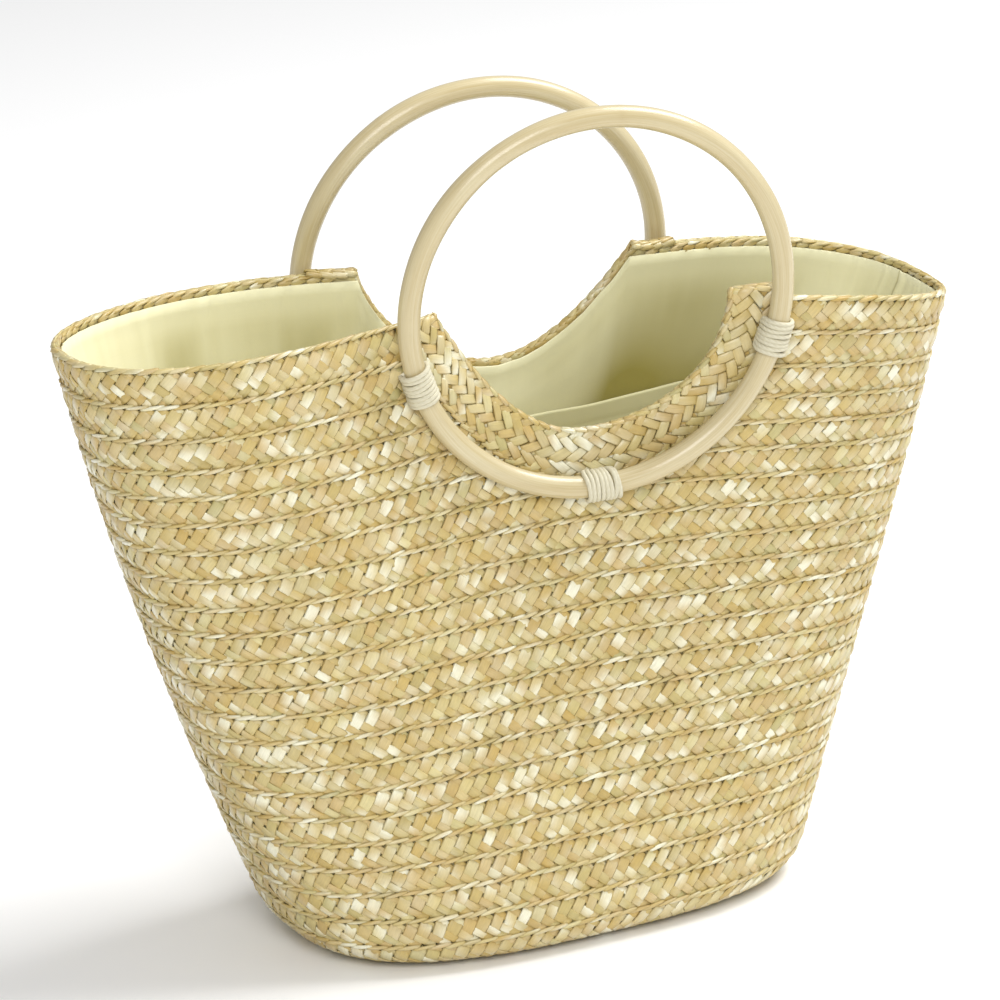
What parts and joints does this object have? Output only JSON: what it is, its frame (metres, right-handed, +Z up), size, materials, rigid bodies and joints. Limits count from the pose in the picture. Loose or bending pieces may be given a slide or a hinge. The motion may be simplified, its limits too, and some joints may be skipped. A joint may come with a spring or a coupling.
{
  "type": "straw basket bag",
  "caption": "Open-topped tote of sewn straw plait, wider at the mouth than at the base, with scooped sides, cloth lining and round wood ring handles.",
  "frame": {"origin": "on the floor, under the middle of the bag's bounding box", "axes": "+Z up, +X along the mouth towards its rounder end, -Y out of the front wall, whose handle stands higher"},
  "size_m": [0.4044, 0.1628, 0.3754],
  "materials": {
    "straw": "natural golden wheat straw, plaited and sewn, satin",
    "trim": "wider flat herringbone straw plait, satin",
    "lining": "plain cream cotton, matt",
    "handle": "pale natural rattan, clear satin lacquer",
    "binding": "off-white waxed cord, wound"
  },
  "bodies": {
    "root": {"straw_body": "straw", "scoop_trim_front": "trim", "scoop_trim_back": "trim", "lining": "lining", "lining_pocket": "lining", "ring_handle_front": "handle", "ring_handle_back": "handle", "binding_front_left": "binding", "binding_front_middle": "binding", "binding_front_right": "binding", "binding_back_left": "binding", "binding_back_middle": "binding", "binding_back_right": "binding"}
  },
  "joints": []
}
